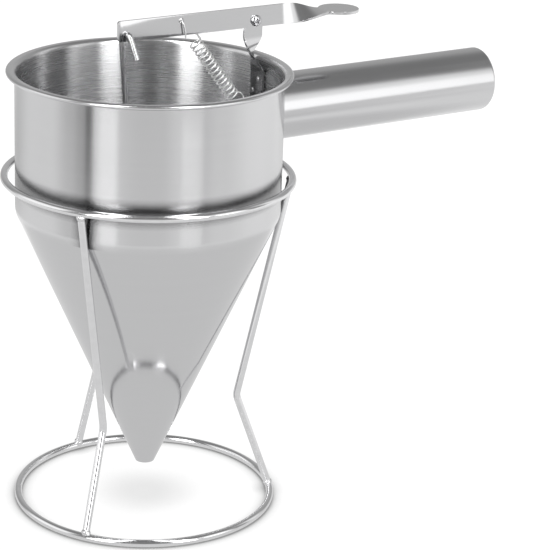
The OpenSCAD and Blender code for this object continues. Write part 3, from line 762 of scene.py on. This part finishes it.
# The outline is in millimetres, measured from the lever's middle. The recess is two slots, each with a
# length and a width at its top and at its foot.
HEAD = [(0, 2.75), (1.2, 2.72), (2.2, 2.45), (2.85, 1.95), (3.1, 1.45), (3.1, 0.95), (2.98, 0.82)]
SHANK = [(1.5, 0.8), (1.5, -5.6), (1.25, -5.85), (0, -5.85)]
RECESS_TOP, RECESS_FOOT = (3.9, 0.85), (2.0, 0.55)
RECESS_Z, RECESS_DEEP = 2.4 * MM, 1.6
towards_near = Matrix.Translation(PIVOT) @ Matrix.Rotation(math.pi / 2, 4, "X")
outline = [(x * MM, z * MM) for x, z in HEAD + SHANK]
bm = bmesh.new()
trace(bm, outline[0], outline[1:])
lathe(bm, 64)
bmesh.ops.transform(bm, matrix=towards_near, verts=bm.verts)
screw = finish_piece("pivot_screw_m3", bm, bright_screw, "funnel", "pivot_screw")
bm = bmesh.new()
for turned in (20, 110):
    wing = bmesh.ops.create_cube(bm, size=1.0)["verts"]
    for v in wing:
        length, width = RECESS_FOOT if v.co.z < 0 else RECESS_TOP
        v.co.x *= length
        v.co.y *= width
    place = Matrix.Rotation(math.radians(turned), 4, "Z") @ Matrix.Translation((0, 0, RECESS_Z))
    size = Matrix.Diagonal((MM, MM, RECESS_DEEP * MM, 1))
    bmesh.ops.transform(bm, matrix=towards_near @ place @ size, verts=wing)
carve(screw, bm, 30, crossed=True)
cover("pivot_washer", bright_screw)
cover("pivot_nut", bright_screw)

# ---------------------------------------------------------------------------------------------
# The stopper's rod: one length of 3.1 mm drawn rod, hooked through the lever's end hole. Its short
# tail hangs on the near side, its long leg runs down to the plug.
# ---------------------------------------------------------------------------------------------
# Drawn rod has a soft shine with lines along it, about 0.1 mm apart and drawn at 1.2 mm.
drawn_rod = steel("drawn rod", "#cbcbcc", 0.24, (1.2 * MM, 1.2 * MM, 30 * MM), 5e-6, 0.06, cloud=0.05)
ROD = 1.55 * MM
NEAR_Y, FAR_Y = -1.2 * MM, 1.6 * MM
NEAR_BEND, FAR_BEND = 3.0 * MM, 3.5 * MM
TAIL_DROP = 70
TAIL_LEAN = -9
TAIL = 11.1 * MM
PLUG_TOP = 32.8 * MM
rod_lean = math.atan2(-ROD_HOLE.x, ROD_HOLE.z - PLUG_TOP)
drop = (ROD_HOLE.z - PLUG_TOP) / math.cos(rod_lean)
span = math.hypot(FAR_Y, drop - FAR_BEND)
side_lean = math.asin(FAR_BEND / span) + math.atan2(FAR_Y, drop - FAR_BEND)
tail_lean = Matrix.Rotation(math.radians(TAIL_LEAN), 3, "Y")
leg_lean = Matrix.Rotation(-rod_lean, 3, "Y")
near_arc = bend((0, NEAR_Y, -NEAR_BEND), (0, 0, NEAR_BEND), (1, 0, 0), TAIL_DROP, 12)
near_arc = [ROD_HOLE + tail_lean @ p for p in near_arc]
tail_way = Vector((0, -math.cos(math.radians(TAIL_DROP)), -math.sin(math.radians(TAIL_DROP))))
tail = near_arc[-1] + tail_lean @ tail_way * TAIL
far_arc = bend((0, FAR_Y, -FAR_BEND), (0, 0, FAR_BEND), (-1, 0, 0), 90 + math.degrees(side_lean), 16)
far_arc = [ROD_HOLE + leg_lean @ p for p in far_arc]
foot = Vector((0, 0, PLUG_TOP))
path = [tail] + [tail.lerp(near_arc[-1], k / 3) for k in (1, 2)] + near_arc[::-1] + far_arc
path += [far_arc[-1].lerp(foot, k / 8) for k in range(1, 9)]
bm = bmesh.new()
run_wire(bm, path, ROD, 28)
finish_piece("rod", bm, drawn_rod, "stopper", "stopper_rod")

# ---------------------------------------------------------------------------------------------
# The plug: a turned steel cone frustum that closes the outlet, and the weld that holds the rod
# on it.
# ---------------------------------------------------------------------------------------------
# Turned steel is dull grey with the lathe's rings, about 0.15 mm apart and drawn at 0.4 mm.
turned_plug = steel("turned dull steel", "#a9a9ab", 0.38, (20 * MM, 20 * MM, 0.4 * MM), 5e-6, 0.06)
PLUG_R = 9.9 * MM
PLUG_H = 6.5 * MM
BREAK = 0.3 * MM
TOP_BREAK = 0.4 * MM
plug_foot = PLUG_TOP - PLUG_H
low_r = PLUG_R - PLUG_H * math.tan(CONE)
bm = bmesh.new()
trace(bm, (0, plug_foot), [
    (low_r - BREAK, plug_foot), (low_r, plug_foot + BREAK), (PLUG_R - BREAK, PLUG_TOP - TOP_BREAK),
    (PLUG_R - 2 * BREAK, PLUG_TOP), (0, PLUG_TOP)])
lathe(bm, 96)
finish_piece("plug", bm, turned_plug, "stopper", "stopper_plug")
LUMPS_PER_M, LUMP = 700, 0.06
WELD_STEPS = [(1.15, -0.1), (1.0, 0.4), (0.45, 0.9), (0.05, 1.7)]
bm = bmesh.new()
trace(bm, (0, PLUG_TOP - 0.1 * MM), [(ROD + out * MM, PLUG_TOP + up * MM) for out, up in WELD_STEPS]
      + [(0, PLUG_TOP + 1.8 * MM)])
lathe(bm, 64)
for v in bm.verts:
    v.co.xy *= 1 + LUMP * noise.noise(v.co * LUMPS_PER_M)
finish_piece("plug_weld_bead", bm, cleaned_weld, "stopper", "stopper_weld", sharp=80)

# ---------------------------------------------------------------------------------------------
# The return spring: 0.9 mm spring wire wound into open coils, one hook through the lever and the
# other through the bracket's tab. It pulls the lever's long arm down, so the plug closes.
# ---------------------------------------------------------------------------------------------
# Spring wire is pale and softly bright. Its drawing marks are about 0.1 mm and drawn at 1.5 mm.
spring_wire = steel("bright spring wire", "#f2f2f2", 0.36, (1.5 * MM, 1.5 * MM, 1.5 * MM), 3e-6, 0.05,
                    cloud=0.04, tint=0.04)
SPRING_WIRE = 0.45 * MM
COIL_R = 3.35 * MM
TURNS = 15
STEPS = 24
coil_top = SPRING_HOLE + Vector((8.8, 0, -12)) * MM
coil_end = Vector((TAB_HOLE.x - 7.9 * MM, 0.4 * MM, TAB_Z + 5 * MM))
coil_axis = (coil_end - coil_top).normalized()
coil_side = Vector((0, 1, 0)).cross(coil_axis).normalized()
coil_up = coil_axis.cross(coil_side)
top_hook = [(2, -2.3, -9.4), (1.6, -2.2, -5.5), (0.6, -1.8, -1.3), (0.1, 0, -0.2), (0.2, 1.8, -1.3),
            (1, 2.2, -4.8), (3.2, 1.8, -7.3), (6.2, 1.5, -7.6), (9.3, 1.4, -7.5), (11.1, 1.2, -8.8)]
end_hook = [(-4.2, -2.6, 7.6), (-2, -1.6, 5.4), (-0.6, -0.4, 2.6), (-0.3, 0, -0.6), (-1.4, 0, -3.2),
            (-3.8, 0, -4.4), (-6, 0, -3)]


def flowing(points, steps):
    """A smooth curve through points, without its last point."""
    made = []
    for i in range(len(points) - 1):
        a, b, c, d = points[max(0, i - 1)], points[i], points[i + 1], points[min(len(points) - 1, i + 2)]
        for k in range(steps):
            t = k / steps
            curve = (2 * a - 5 * b + 4 * c - d) * t * t + (3 * b - a - 3 * c + d) * t ** 3
            made.append(0.5 * (2 * b + (c - a) * t + curve))
    return made


coils = []
for k in range(TURNS * STEPS + 1):
    a = math.tau * k / STEPS
    coils.append(coil_top + (coil_end - coil_top) * k / (TURNS * STEPS)
                 - COIL_R * (math.cos(a) * coil_side + math.sin(a) * coil_up))
hook_a = [SPRING_HOLE + Vector(p) * MM for p in top_hook]
hook_b = [TAB_HOLE + Vector(p) * MM for p in end_hook]
path = flowing(hook_a + [coils[0]], 8) + coils + flowing([coils[-1]] + hook_b, 8)[1:] + [hook_b[-1]]
bm = bmesh.new()
run_wire(bm, path, SPRING_WIRE, 12)
spring = finish_piece("spring", bm, spring_wire, None, "return_spring")
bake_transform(spring)
